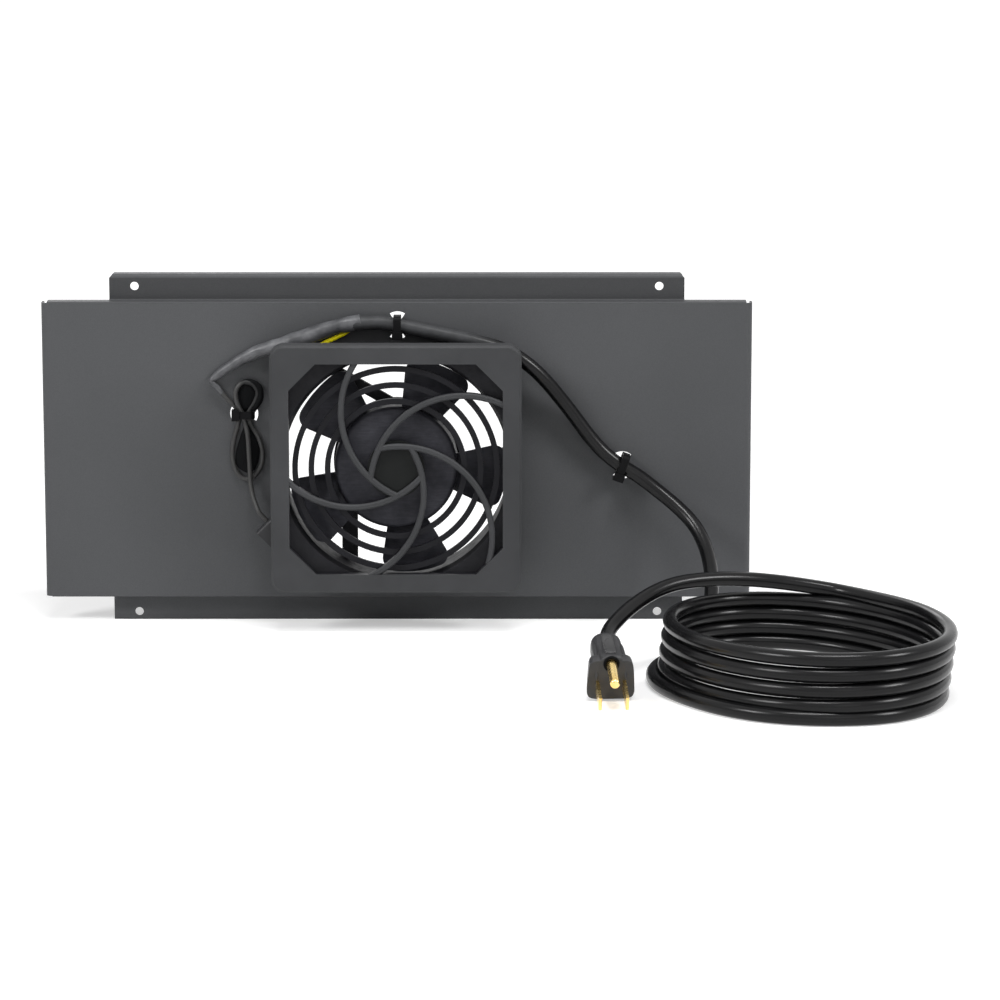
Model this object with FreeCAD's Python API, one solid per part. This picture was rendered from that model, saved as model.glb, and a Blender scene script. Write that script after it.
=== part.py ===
"""Rack fan tray: a folded steel panel that carries one guarded axial fan and its tied-down mains cord.

Frame: millimetres, X right, Z up, Y away from the fan side. The panel stands upright on its
bottom flange. The origin is the bottom centre of the panel and fan together. Depths named "d"
are distances in front of the panel's front face, towards the fan side (-Y).
"""
import FreeCAD, Part
import math
import os

V = FreeCAD.Vector
X_AXIS = V(1, 0, 0)
Y_AXIS = V(0, 1, 0)
Z_AXIS = V(0, 0, 1)

# Panel: folded sheet, hat section with two mounting flanges set back behind the plate
SHEET = 1.2
PLATE_W = 358.0
PLATE_H = 151.8
FLANGE_W = 290.0
BOTTOM_FLANGE_H = 12.8
TOP_FLANGE_H = 13.2
STEP = 7.0
LIP_REACH = 6.0
LIP_CHAMFER = 2.0
EDGE_BEND_R = 3.0
STEP_BEND_R = 1.7
CORNER_RELIEF = 0.6

# Rack holes in the flanges
RACK_HOLE_R = 2.15
RACK_HOLE_INSET = 12.75
RACK_HOLE_BOTTOM_EDGE = 4.0
RACK_HOLE_TOP_EDGE = 6.2

# Cable tie anchors: two arc slots either side of a bridge
ANCHOR_SLOT_R_IN = 3.9
ANCHOR_SLOT_R_OUT = 7.1
ANCHOR_SLOT_SPAN = 66.0
ANCHOR_WIDE_SLOT_SPAN = 84.0
ANCHOR_TOP_X = 0.4
ANCHOR_TOP_SHARE = 0.322
ANCHOR_LEFT_GAP = 14.45
ANCHOR_LEFT_RISE = 23.4
ANCHOR_RIGHT_GAP = 51.05
ANCHOR_RIGHT_DROP = 3.1

# Fan frame
FAN_SIZE = 119.0
FAN_DEPTH = 25.4
FAN_Z = 84.3
FAN_FLANGE_T = 4.0
FAN_CORNER_R = 5.0
FAN_HOLE_INSET = 7.1
FAN_HOLE_R = 2.15
BORE_RIM = 3.0
BORE_FLARE = 1.8
BARREL_WALL = 2.6
PANEL_OPENING_GAP = 1.0

# Motor base and struts at the panel side of the fan
BASE_R = 32.0
BASE_T = 2.8
BASE_RECESS = 0.4
STRUT_T = 2.8
STRUT_W = 5.5
LEAD_STRUT_W = 8.0
STRUT_OFFSET = 24.0
STRUT_COUNT = 3

# Motor
SHAFT_R = 2.0
SHAFT_RUNNING_GAP = 0.04
BEARING_WALL = 2.1
BEARING_L = 4.0
TUBE_WALL = 1.2
TUBE_L = 15.6
CORE_R = 24.4
CORE_T = 8.0
CORE_START_D = 7.2
POLES = 4
COIL_OVERHANG = 1.5
CUP_GAP = 1.5
CUP_WALL = 1.6
HUB_WALL = 3.4
HUB_FRONT_T = 1.7
HUB_NOSE_R = 2.4
IMPELLER_SETBACK = 1.2
HUB_REAR_D = 5.2

# Blades
BLADES = 5
BLADE_SPAN_DEG = 40.0
FIRST_BLADE_DEG = 65.0
BLADE_TIP_GAP = 1.3
BLADE_T = 2.2
BLADE_CAMBER = 1.6
BLADE_REAR_D = 6.6
BLADE_FRONT_D = 22.0
BLADE_CORNER_R = 6.0

# Guard
GUARD_OVERHANG = 3.25
GUARD_CORNER_R = 7.0
GUARD_T = 6.0
GUARD_BORDER = 9.35
GUARD_OPENING_CHAMFER = 13.4
GUARD_BEVEL = 1.2
GUARD_SKIRT_GAP = 0.25
GUARD_PIN_GAP = 0.05
ARM_COUNT = 5
ARM_W = 3.0
ARM_FRONT_SETBACK = 0.6
ARM_DEPTH = 4.4
ARM_OUTER_X = -19.7
ARM_BURIED = 1.2
ARM_INNER = (-3.6, -11.4)
ARM_BULGE = 14.8
GUARD_HUB_R = 14.4
GUARD_HUB_T = 1.5
ARM_EDGE = 0.7
RING_PITCH = 8.15
LAST_RING_GAP = 2.9
RING_COUNT = 3
RING_W = 2.8
RING_T = 2.0
RING_BACK_GAP = 0.3

# Fasteners that hold the fan to the panel
SCREW_R = 1.95
SCREW_L = 10.5
SCREW_HEAD_R = 3.8
SCREW_HEAD_T = 2.4
PANEL_SCREW_HOLE_R = 2.25
NUT_AF = 7.0
NUT_T = 3.0
NUT_HOLE_R = 2.0
WASHER_R = 3.9
WASHER_T = 0.8

# Mains terminals and the fan lead's plug, on the barrel at the lower left
TERMINAL_DEG = 225.0
TERMINAL_ASIDE = 15.4
TERMINAL_W = 2.8
TERMINAL_T = 0.5
TERMINAL_L = 7.0
TERMINAL_PITCH = 7.0
BLOCK_SIZE = (19.0, 11.0, 1.5)
LEAD_PLUG_SIZE = (20.0, 10.0, 14.8)

# Cords
CORD_D = 7.2
LEAD_D = 2.4
EARTH_D = 2.2
SLEEVE_CUFF_D = 8.4
SLEEVE_D = 5.6
SLEEVE_TAIL_D = 3.6
BEND_SHARE = 0.45

# Cable ties
TIE_W = 3.8
TIE_T = 1.1
TIE_GAP = 0.05
TIE_BEND_R = 2.2
TIE_INNER_R = 0.25
TIE_HEAD_W = 5.4
TIE_HEAD_H = 3.6
RIGHT_TIE_TURN = 20.0

# Mains plug
PLUG_FACE_W = 21.0
PLUG_FACE_H = 22.4
PLUG_FACE_T = 5.0
PLUG_FACE_CHAMFER = 2.6
PLUG_BODY_L = 34.0
PLUG_BODY_R = 7.2
PLUG_NECK_R = 5.2
BLADE_PIN_SPACING = 12.7
BLADE_PIN_L = 17.8
BLADE_PIN_H = 6.3
BLADE_PIN_T = 1.5
BLADE_PIN_DROP = 4.4
GROUND_PIN_R = 2.4
GROUND_PIN_L = 21.0
GROUND_PIN_RISE = 7.5
PLUG_PITCH_DEG = 15.4
PLUG_YAW_DEG = 3.8
PLUG_X = 105.1
PLUG_TIP_D = 192.1

# Coil of spare cord, lying on the surface in front of the panel
COIL_X = 199.1
COIL_D = 147.0
COIL_LONG = 79.4
COIL_SHORT = 61.2
COIL_TURN_DEG = -62.9
COIL_TURNS = 5.5
LOOSE_TURN = 4.8
LOOSE_TURN_LEFT = 3.4

# Derived
BORE_R = FAN_SIZE / 2 - BORE_RIM
FAN_HOLE_PITCH = FAN_SIZE - 2 * FAN_HOLE_INSET
PANEL_OPENING_R = BORE_R + PANEL_OPENING_GAP
GUARD_SIZE = FAN_SIZE + 2 * GUARD_OVERHANG
GUARD_OPENING = GUARD_SIZE - 2 * GUARD_BORDER
LAST_RING_R = GUARD_OPENING / 2 - LAST_RING_GAP
GUARD_TOP = FAN_Z + GUARD_SIZE / 2
FRONT_REACH = FAN_DEPTH + GUARD_T
BACK_REACH = STEP + SHEET + LIP_REACH
PANEL_Y = (FRONT_REACH - BACK_REACH) / 2
PLATE_Z0 = BOTTOM_FLANGE_H
PLATE_Z1 = BOTTOM_FLANGE_H + PLATE_H
TOTAL_H = PLATE_Z1 + TOP_FLANGE_H
COIL_H = CORD_D * COIL_TURNS
CUP_R = CORE_R + CUP_GAP + CUP_WALL
HUB_R = CUP_R + HUB_WALL
HUB_FRONT_D = FAN_DEPTH - IMPELLER_SETBACK
CUP_FRONT_D = HUB_FRONT_D - HUB_FRONT_T
BEARING_BORE_R = SHAFT_R + SHAFT_RUNNING_GAP
TUBE_R_IN = BEARING_BORE_R + BEARING_WALL
BASE_FRONT_D = BASE_RECESS + BASE_T
TIP_R = BORE_R - BLADE_TIP_GAP
RACK_SPACING_X = FLANGE_W - 2 * RACK_HOLE_INSET
RACK_TOP_HOLE_Z = TOTAL_H - RACK_HOLE_TOP_EDGE

# Points that the cords' routes are measured from: x, depth in front of the panel, z
TOP_TIE = (ANCHOR_TOP_X, 0, GUARD_TOP + ANCHOR_TOP_SHARE * (PLATE_Z1 - GUARD_TOP))
LEFT_TIE = (-GUARD_SIZE / 2 - ANCHOR_LEFT_GAP, 0, FAN_Z + ANCHOR_LEFT_RISE)
RIGHT_TIE = (GUARD_SIZE / 2 + ANCHOR_RIGHT_GAP, 0, FAN_Z - ANCHOR_RIGHT_DROP)
GUARD_TOP_LEFT = (-GUARD_SIZE / 2, 0, GUARD_TOP)
GUARD_TOP_RIGHT = (GUARD_SIZE / 2, 0, GUARD_TOP)
EARTH_SCREW = (-FAN_HOLE_PITCH / 2, 0, FAN_Z + FAN_HOLE_PITCH / 2)
COIL_LEFT = (COIL_X - COIL_SHORT, COIL_D, CORD_D / 2)
COIL_BACK = (COIL_X, COIL_D - COIL_LONG, COIL_H - CORD_D / 2)


def place(shape):
    """Move a shape from the panel's frame (Y=0 on the front face) to the part's frame."""
    moved = shape.copy()
    moved.translate(V(0, PANEL_Y, 0))
    return moved


def save(name, shape):
    """Write one node and print what it holds."""
    shape = place(shape)
    shape.exportStep(os.path.join("parts", name + ".step"))
    box = shape.BoundBox
    print(f"{name:20s} solids {len(shape.Solids):2d} valid {shape.isValid()} vol {shape.Volume:10.1f} "
          f"x {box.XMin:.1f}..{box.XMax:.1f} y {box.YMin:.1f}..{box.YMax:.1f} "
          f"z {box.ZMin:.1f}..{box.ZMax:.1f}")


def box(x0, x1, d0, d1, z0, z1):
    """Box between two X, two depths in front of the panel and two Z."""
    return Part.makeBox(x1 - x0, d1 - d0, z1 - z0, V(x0, -d1, z0))


def disc(r, d0, d1, x=0.0, z=0.0):
    """Cylinder along Y between two depths."""
    return Part.makeCylinder(r, d1 - d0, V(x, -d1, z), Y_AXIS)


def ring(r_out, r_in, d0, d1, x=0.0, z=0.0):
    return disc(r_out, d0, d1, x, z).cut(disc(r_in, d0 - 1, d1 + 1, x, z))


def polygon(points, d0, d1):
    """Prism along Y over a polygon given as (x, z) points."""
    corners = [V(x, -d1, z) for x, z in points]
    face = Part.Face(Part.makePolygon(corners + corners[:1]))
    return face.extrude(V(0, d1 - d0, 0))


def rounded_square(side, r, d0, d1, z):
    """Square prism along Y with filleted corners, centred on X=0 and the given Z."""
    half = side / 2
    body = box(-half, half, d0, d1, z - half, z + half)
    edges = [e for e in body.Edges if abs(e.tangentAt(e.FirstParameter).y) > 0.9]
    return body.makeFillet(r, edges)


def turned(shape, degrees, z):
    """Copy turned about the fan's axis direction through X=0 and the given Z."""
    copy = shape.copy()
    copy.rotate(V(0, 0, z), Y_AXIS, -degrees)
    return copy


def fuse(shapes):
    return shapes[0].multiFuse(shapes[1:]).removeSplitter()


# ---------------------------------------------------------------- sheet metal

def bent_band(points, bend_r, thickness):
    """Outline of a bent strip: a mid-line through points with every corner bent to bend_r."""
    count = len(points)
    steps = [points[i + 1].sub(points[i]).normalize() for i in range(count - 1)]
    normal = Z_AXIS if abs(steps[0].cross(steps[1]).z) > 0.5 else X_AXIS
    sides = []
    for sign in (1, -1):
        edges = []
        offset = thickness / 2 * sign
        side = normal.cross(steps[0]).multiply(offset)
        start = points[0].add(side)
        for i in range(1, count - 1):
            a, b = steps[i - 1], steps[i]
            turn = normal.dot(a.cross(b))
            radius = bend_r - offset * (1 if turn > 0 else -1)
            corner = points[i].add(normal.cross(a).multiply(offset)).add(normal.cross(b).multiply(offset))
            into = corner.sub(V(a).multiply(radius))
            out = corner.add(V(b).multiply(radius))
            centre = into.add(V(b).multiply(radius))
            middle = centre.add(corner.sub(centre).normalize().multiply(radius))
            edges.append(Part.LineSegment(start, into).toShape())
            edges.append(Part.Arc(into, middle, out).toShape())
            start = out
        end = points[-1].add(normal.cross(steps[-1]).multiply(offset))
        edges.append(Part.LineSegment(start, end).toShape())
        sides.append((edges, points[0].add(side), end))
    caps = [Part.LineSegment(sides[0][i], sides[1][i]).toShape() for i in (1, 2)]
    return Part.Face(Part.Wire(Part.__sortEdges__(sides[0][0] + sides[1][0] + caps)))


def anchor_slots(centre, across, span):
    """Cutters for one tie anchor: two arc slots on either side of a bridge along the cord."""
    x, z = centre[0], centre[2]
    sector = []
    for side in (0, 180):
        reach = ANCHOR_SLOT_R_OUT * 2
        half = math.radians(span / 2)
        mid = math.radians(across + side)
        tips = [(x + reach * math.cos(mid + s * half), z + reach * math.sin(mid + s * half)) for s in (-1, 1)]
        wedge = polygon([(x, z)] + tips, -SHEET - 1, 1)
        band = ring(ANCHOR_SLOT_R_OUT, ANCHOR_SLOT_R_IN, -SHEET - 1, 1, x, z)
        sector.append(band.common(wedge))
    return sector


def make_panel():
    half = SHEET / 2
    mid_y = half
    back_y = STEP + half
    lip_y = STEP + SHEET + LIP_REACH
    z0, z1 = PLATE_Z0 + half, PLATE_Z1 - half
    hat = [V(0, back_y, 0), V(0, back_y, z0), V(0, mid_y, z0), V(0, mid_y, z1), V(0, back_y, z1),
           V(0, back_y, TOTAL_H - half), V(0, lip_y, TOTAL_H - half)]
    bend = STEP_BEND_R - half
    hat_face = bent_band(hat, bend, SHEET)
    hat_face.translate(V(-FLANGE_W / 2, 0, 0))
    middle = hat_face.extrude(V(FLANGE_W, 0, 0))

    wall_y = STEP + SHEET
    channel = [V(0, wall_y, z0), V(0, mid_y, z0), V(0, mid_y, z1), V(0, wall_y, z1)]
    wide_face = bent_band(channel, bend, SHEET)
    inner_w = PLATE_W - 2 * EDGE_BEND_R
    wide_face.translate(V(-inner_w / 2, 0, 0))
    wide = wide_face.extrude(V(inner_w, 0, 0))

    x1 = PLATE_W / 2 - half
    sides = [V(-x1, wall_y, 0), V(-x1, mid_y, 0), V(x1, mid_y, 0), V(x1, wall_y, 0)]
    side_face = bent_band(sides, EDGE_BEND_R - half, SHEET)
    side_face.translate(V(0, 0, PLATE_Z0 + CORNER_RELIEF))
    side_walls = side_face.extrude(V(0, 0, PLATE_H - 2 * CORNER_RELIEF))

    panel = fuse([middle, wide, side_walls])
    cutters = [disc(PANEL_OPENING_R, -SHEET - 1, 1, 0, FAN_Z)]
    for x, z in fan_holes():
        cutters.append(disc(PANEL_SCREW_HOLE_R, -SHEET - 1, 1, x, z))
    for x, z in rack_holes():
        cutters.append(disc(RACK_HOLE_R, -STEP - SHEET - 1, -STEP + 1, x, z))
    cutters += anchor_slots(TOP_TIE, 90, ANCHOR_SLOT_SPAN)
    cutters += anchor_slots(LEFT_TIE, 0, ANCHOR_SLOT_SPAN)
    cutters += anchor_slots(RIGHT_TIE, 90, ANCHOR_WIDE_SLOT_SPAN)
    for side in (-1, 1):
        cutters.append(lip_corner_cutter(side))
    return panel.cut(Part.makeCompound(cutters))


def lip_corner_cutter(side):
    """Wedge that takes the corner off one end of the top flange and its lip."""
    x = side * FLANGE_W / 2
    c = LIP_CHAMFER
    over = 1.0
    points = [(x + side * over, TOTAL_H + over), (x - side * (c + over), TOTAL_H + over),
              (x + side * over, TOTAL_H - c - over)]
    return polygon(points, -BACK_REACH - over, -STEP + over)


def fan_holes():
    p = FAN_HOLE_PITCH / 2
    return [(x, FAN_Z + z) for x in (-p, p) for z in (-p, p)]


def rack_holes():
    heights = (RACK_HOLE_BOTTOM_EDGE, RACK_TOP_HOLE_Z)
    return [(x * RACK_SPACING_X / 2, z) for x in (-1, 1) for z in heights]


# ---------------------------------------------------------------- fan

def make_housing():
    front = rounded_square(FAN_SIZE, FAN_CORNER_R, FAN_DEPTH - FAN_FLANGE_T, FAN_DEPTH, FAN_Z)
    rear = rounded_square(FAN_SIZE, FAN_CORNER_R, 0, FAN_FLANGE_T, FAN_Z)
    barrel = disc(BORE_R + BARREL_WALL, 0, FAN_DEPTH, 0, FAN_Z)
    shell = fuse([front, rear, barrel])
    bore = disc(BORE_R, -1, FAN_DEPTH + 1, 0, FAN_Z)
    flare_start = V(0, -FAN_DEPTH + BORE_FLARE * 2, FAN_Z)
    flare = Part.makeCone(BORE_R, BORE_R + BORE_FLARE, BORE_FLARE * 2, flare_start, -Y_AXIS)
    holes = [disc(FAN_HOLE_R, -1, FAN_DEPTH + 1, x, z) for x, z in fan_holes()]
    shell = shell.cut(Part.makeCompound([bore, flare] + holes))

    base = disc(BASE_R, BASE_RECESS, BASE_FRONT_D, 0, FAN_Z)
    struts = []
    for k in range(STRUT_COUNT):
        w = LEAD_STRUT_W if k == 0 else STRUT_W
        reach = BORE_R + BARREL_WALL / 2
        inner = math.sqrt(BASE_R ** 2 - STRUT_OFFSET ** 2) * 0.6
        outer = math.sqrt(reach ** 2 - (STRUT_OFFSET + w / 2) ** 2)
        strut = box(-STRUT_OFFSET - w / 2, -STRUT_OFFSET + w / 2, BASE_RECESS, BASE_RECESS + STRUT_T,
                    FAN_Z - outer, FAN_Z - inner)
        struts.append(turned(strut, 360 / STRUT_COUNT * k, FAN_Z))
    tube = disc(TUBE_R_IN + TUBE_WALL, BASE_FRONT_D, BASE_FRONT_D + TUBE_L, 0, FAN_Z)
    housing = fuse([shell, base] + struts + [tube])
    return housing.cut(disc(TUBE_R_IN, -1, FAN_DEPTH, 0, FAN_Z))


def bearing_starts():
    return (BASE_FRONT_D, BASE_FRONT_D + TUBE_L - BEARING_L)


def make_bearings():
    rings = [ring(TUBE_R_IN, BEARING_BORE_R, d, d + BEARING_L, 0, FAN_Z) for d in bearing_starts()]
    return Part.makeCompound(rings)


def make_core():
    r_in = TUBE_R_IN + TUBE_WALL
    yoke = ring(r_in + 4.6, r_in, CORE_START_D, CORE_START_D + CORE_T, 0, FAN_Z)
    parts = [yoke]
    for k in range(POLES):
        tooth = box(-3.4, 3.4, CORE_START_D, CORE_START_D + CORE_T, FAN_Z + r_in + 2, FAN_Z + CORE_R - 1)
        shoe = ring(CORE_R, CORE_R - 2.6, CORE_START_D, CORE_START_D + CORE_T, 0, FAN_Z)
        sector = [(0, FAN_Z), (-30, FAN_Z + 36), (30, FAN_Z + 36)]
        wedge = polygon(sector, CORE_START_D, CORE_START_D + CORE_T)
        parts.append(turned(fuse([tooth, shoe.common(wedge)]), 360 / POLES * k, FAN_Z))
    return fuse(parts)


def make_coils():
    coils = []
    low = TUBE_R_IN + TUBE_WALL + 5.4
    high = CORE_R - 3.7
    d0 = CORE_START_D - COIL_OVERHANG
    d1 = CORE_START_D + CORE_T + COIL_OVERHANG
    for k in range(POLES):
        winding = box(-5.6, 5.6, d0, d1, FAN_Z + low, FAN_Z + high)
        upright = [e for e in winding.Edges if abs(e.tangentAt(e.FirstParameter).z) > 0.9]
        winding = winding.makeFillet(1.2, upright)
        tooth = box(-3.5, 3.5, CORE_START_D - 0.1, CORE_START_D + CORE_T + 0.1, FAN_Z, FAN_Z + CORE_R)
        coils.append(turned(winding.cut(tooth), 360 / POLES * k, FAN_Z))
    return Part.makeCompound(coils)


def make_rotor_cup():
    body = disc(CUP_R, HUB_REAR_D + 0.8, CUP_FRONT_D, 0, FAN_Z)
    hollow = disc(CUP_R - CUP_WALL, 0, CUP_FRONT_D - CUP_WALL, 0, FAN_Z)
    return body.cut(hollow).cut(disc(SHAFT_R, 0, FAN_DEPTH, 0, FAN_Z))


def make_shaft():
    return disc(SHAFT_R, BASE_RECESS + 0.6, CUP_FRONT_D, 0, FAN_Z).cut(clip_groove())


def clip_groove():
    return ring(SHAFT_R + 1, SHAFT_R - 0.4, BASE_FRONT_D - 1.1, BASE_FRONT_D - 0.4, 0, FAN_Z)


def make_clip():
    """Retaining clip, open on one side, in the shaft's groove behind the rear bearing."""
    clip = ring(TUBE_R_IN - 0.5, SHAFT_R - 0.4, BASE_FRONT_D - 1.05, BASE_FRONT_D - 0.45, 0, FAN_Z)
    mouth = box(-1.1, 1.1, 0, FAN_DEPTH, FAN_Z - HUB_R, FAN_Z)
    return clip.cut(mouth)


def blade_section(r):
    """Closed cambered section in the plane tangent to radius r, at the blade's middle angle."""
    half = math.tan(math.radians(BLADE_SPAN_DEG / 2)) * r
    lead = V(-half, -BLADE_FRONT_D + BLADE_T / 2, r)
    trail = V(half, -BLADE_REAR_D - BLADE_T / 2, r)
    chord = trail.sub(lead).normalize()
    normal = V(chord.y, -chord.x, 0)
    centre = lead.add(trail).multiply(0.5)
    edge = V(normal).multiply(0.45)
    back = centre.add(V(normal).multiply(BLADE_CAMBER + BLADE_T / 2))
    face = centre.add(V(normal).multiply(BLADE_CAMBER - BLADE_T / 2))
    edges = [
        Part.Arc(lead.add(edge), back, trail.add(edge)).toShape(),
        Part.LineSegment(trail.add(edge), trail.sub(edge)).toShape(),
        Part.Arc(trail.sub(edge), face, lead.sub(edge)).toShape(),
        Part.LineSegment(lead.sub(edge), lead.add(edge)).toShape(),
    ]
    return Part.Wire(edges)


def blade_planform():
    """Sector the blade is trimmed to, seen along the axis, with rounded tip corners."""
    half = math.radians(BLADE_SPAN_DEG / 2 - 0.4)
    root, tip = HUB_R - HUB_WALL / 2, TIP_R

    def at(r, a):
        return V(r * math.sin(a), -FAN_DEPTH, r * math.cos(a))

    edges = [
        Part.Arc(at(root, -half), at(root, 0), at(root, half)).toShape(),
        Part.LineSegment(at(root, half), at(tip, half)).toShape(),
        Part.Arc(at(tip, half), at(tip, 0), at(tip, -half)).toShape(),
        Part.LineSegment(at(tip, -half), at(root, -half)).toShape(),
    ]
    sector = Part.Face(Part.Wire(edges)).extrude(V(0, FAN_DEPTH, 0))
    along = [e for e in sector.Edges if abs(e.tangentAt(e.FirstParameter).y) > 0.9]
    at_tip = [e for e in along if math.hypot(e.Vertexes[0].X, e.Vertexes[0].Z) > root + 1]
    return sector.makeFillet(BLADE_CORNER_R, at_tip)


def make_impeller():
    hub = disc(HUB_R, HUB_REAR_D, HUB_FRONT_D, 0, 0)
    nose = [e for e in hub.Edges if e.Closed and e.BoundBox.YMax < -HUB_FRONT_D + 0.1]
    hub = hub.makeFillet(HUB_NOSE_R, nose)
    hub = hub.cut(disc(CUP_R, 0, CUP_FRONT_D, 0, 0))
    sections = [blade_section(r) for r in (HUB_R - HUB_WALL, (HUB_R + TIP_R) / 2, TIP_R + 2)]
    blade = Part.makeLoft(sections, True, False).common(blade_planform())
    blades = []
    for k in range(BLADES):
        blades.append(turned(blade, FIRST_BLADE_DEG - 90 + 360 / BLADES * k, 0))
    impeller = fuse([hub] + blades)
    impeller.translate(V(0, 0, FAN_Z))
    return impeller


def terminal_frame(shape):
    """Turn a shape built pointing along +X at the fan's centre to the terminals' direction.

    The terminals stand beside the line through the fan's centre, so that the shape moves aside first.
    """
    moved = shape.copy()
    moved.translate(V(0, 0, FAN_Z - TERMINAL_ASIDE))
    return turned(moved, TERMINAL_DEG, FAN_Z)


def terminal_centre_d():
    return (FAN_DEPTH) / 2


def make_terminal_block():
    w, t, h = BLOCK_SIZE
    mid = terminal_centre_d()
    r1 = block_face_r()
    block = box(r1 - h - w / 2, r1, mid - t / 2, mid + t / 2, -w / 2, w / 2)
    barrel = disc(BORE_R + BARREL_WALL, 0, FAN_DEPTH, 0, TERMINAL_ASIDE)
    return terminal_frame(block.cut(barrel))


def block_face_r():
    return BORE_R + BARREL_WALL - 0.9 + BLOCK_SIZE[2]


def make_terminals():
    mid = terminal_centre_d()
    r0 = block_face_r()
    tabs = []
    for side in (-1, 1):
        z = side * TERMINAL_PITCH / 2
        tabs.append(box(r0, r0 + TERMINAL_L, mid - TERMINAL_W / 2, mid + TERMINAL_W / 2,
                        z - TERMINAL_T / 2, z + TERMINAL_T / 2))
    return terminal_frame(Part.makeCompound(tabs))


def make_lead_plug():
    w, t, length = LEAD_PLUG_SIZE
    mid = terminal_centre_d()
    r0 = block_face_r()
    body = box(r0, r0 + length, mid - t / 2, mid + t / 2, -w / 2, w / 2)
    radial = [e for e in body.Edges if abs(e.tangentAt(e.FirstParameter).x) > 0.9]
    body = body.makeFillet(1.4, radial)
    slots = []
    for side in (-1, 1):
        z = side * TERMINAL_PITCH / 2
        slots.append(box(r0 - 1, r0 + TERMINAL_L + 0.3, mid - TERMINAL_W / 2, mid + TERMINAL_W / 2,
                         z - TERMINAL_T / 2, z + TERMINAL_T / 2))
    return terminal_frame(body.cut(Part.makeCompound(slots)))


def lead_exit():
    """Where the fan lead leaves the side of its plug, in the panel's frame, and the way it points."""
    w, t, length = LEAD_PLUG_SIZE
    r = block_face_r() + length / 2
    a = math.radians(TERMINAL_DEG)
    side = V(math.sin(a), 0, -math.cos(a))
    point = V(r * math.cos(a), -terminal_centre_d(), FAN_Z + r * math.sin(a))
    return point.add(V(side).multiply(TERMINAL_ASIDE + w / 2)), side


# ---------------------------------------------------------------- guard

def arm_outline(z):
    """One swirl arm, a circular ribbon from the frame opening to the guard's hub."""
    a = V(ARM_OUTER_X, 0, GUARD_OPENING / 2 + ARM_BURIED)
    b = V(ARM_INNER[0], 0, ARM_INNER[1])
    along = b.sub(a)
    chord = along.Length
    along.normalize()
    across = V(along.z, 0, -along.x)
    radius = (chord ** 2 / 4 + ARM_BULGE ** 2) / (2 * ARM_BULGE)
    middle = a.add(b).multiply(0.5)
    peak = middle.add(V(across).multiply(ARM_BULGE))
    centre = peak.sub(V(across).multiply(radius))
    edges = []
    ends = []
    for r in (radius + ARM_W / 2, radius - ARM_W / 2):
        points = [centre.add(p.sub(centre).normalize().multiply(r)) for p in (a, peak, b)]
        edges.append(Part.Arc(*points).toShape())
        ends.append(points)
    edges.append(Part.LineSegment(ends[0][0], ends[1][0]).toShape())
    edges.append(Part.LineSegment(ends[0][2], ends[1][2]).toShape())
    face = Part.Face(Part.Wire(Part.__sortEdges__(edges)))
    face.translate(V(0, 0, z))
    return face


def make_guard():
    back = FAN_DEPTH
    front = FAN_DEPTH + GUARD_T
    frame = rounded_square(GUARD_SIZE, GUARD_CORNER_R, back - FAN_FLANGE_T, front, FAN_Z)
    rim = [e for e in frame.Edges if e.BoundBox.YMax < -front + 0.1]
    frame = frame.makeChamfer(GUARD_BEVEL, rim)
    seat = rounded_square(FAN_SIZE + 2 * GUARD_SKIRT_GAP, FAN_CORNER_R, back - FAN_FLANGE_T - 1, back, FAN_Z)
    half = GUARD_OPENING / 2
    cut = half - GUARD_OPENING_CHAMFER
    opening = polygon([(sx, FAN_Z + sz) for sx, sz in (
        (cut, half), (half, cut), (half, -cut), (cut, -half),
        (-cut, -half), (-half, -cut), (-half, cut), (-cut, half))], 0, front + 1)
    frame = frame.cut(seat).cut(opening)

    arm_front = front - ARM_FRONT_SETBACK
    arm_back = arm_front - ARM_DEPTH
    arm = arm_outline(FAN_Z)
    arm.translate(V(0, -arm_front, 0))
    arm = arm.extrude(V(0, ARM_DEPTH, 0))
    rails = [e for e in arm.Edges if e.BoundBox.YMax < -arm_front + 0.01 and e.Length > 2 * ARM_W]
    arm = arm.makeChamfer(ARM_EDGE, rails)
    pieces = [frame]
    for k in range(ARM_COUNT):
        pieces.append(turned(arm, 360 / ARM_COUNT * k, FAN_Z))
    pieces.append(disc(GUARD_HUB_R, arm_back, arm_back + GUARD_HUB_T, 0, FAN_Z))
    ring_back = FAN_DEPTH + RING_BACK_GAP
    for k in range(RING_COUNT):
        r = LAST_RING_R - RING_PITCH * k
        pieces.append(ring(r + RING_W / 2, r - RING_W / 2, ring_back, ring_back + RING_T, 0, FAN_Z))
    for x, z in fan_holes():
        pieces.append(disc(FAN_HOLE_R - GUARD_PIN_GAP, back - FAN_FLANGE_T, back + 1, x, z))
    return fuse(pieces)


# ---------------------------------------------------------------- fasteners

def make_screws():
    screws = []
    for x, z in fan_holes():
        shank = disc(SCREW_R, -SHEET, SCREW_L - SHEET, x, z)
        head = disc(SCREW_HEAD_R, -SHEET - SCREW_HEAD_T, -SHEET, x, z)
        crown = [e for e in head.Edges if e.Closed and e.BoundBox.YMin > SHEET + SCREW_HEAD_T - 0.1]
        head = head.makeFillet(1.0, crown)
        recess = box(x - 2.2, x + 2.2, -SHEET - SCREW_HEAD_T - 1, -SHEET - 1.2, z - 0.45, z + 0.45)
        cross = box(x - 0.45, x + 0.45, -SHEET - SCREW_HEAD_T - 1, -SHEET - 1.2, z - 2.2, z + 2.2)
        screws.append(shank.fuse(head).removeSplitter().cut(recess).cut(cross))
    return Part.makeCompound(screws)


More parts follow.
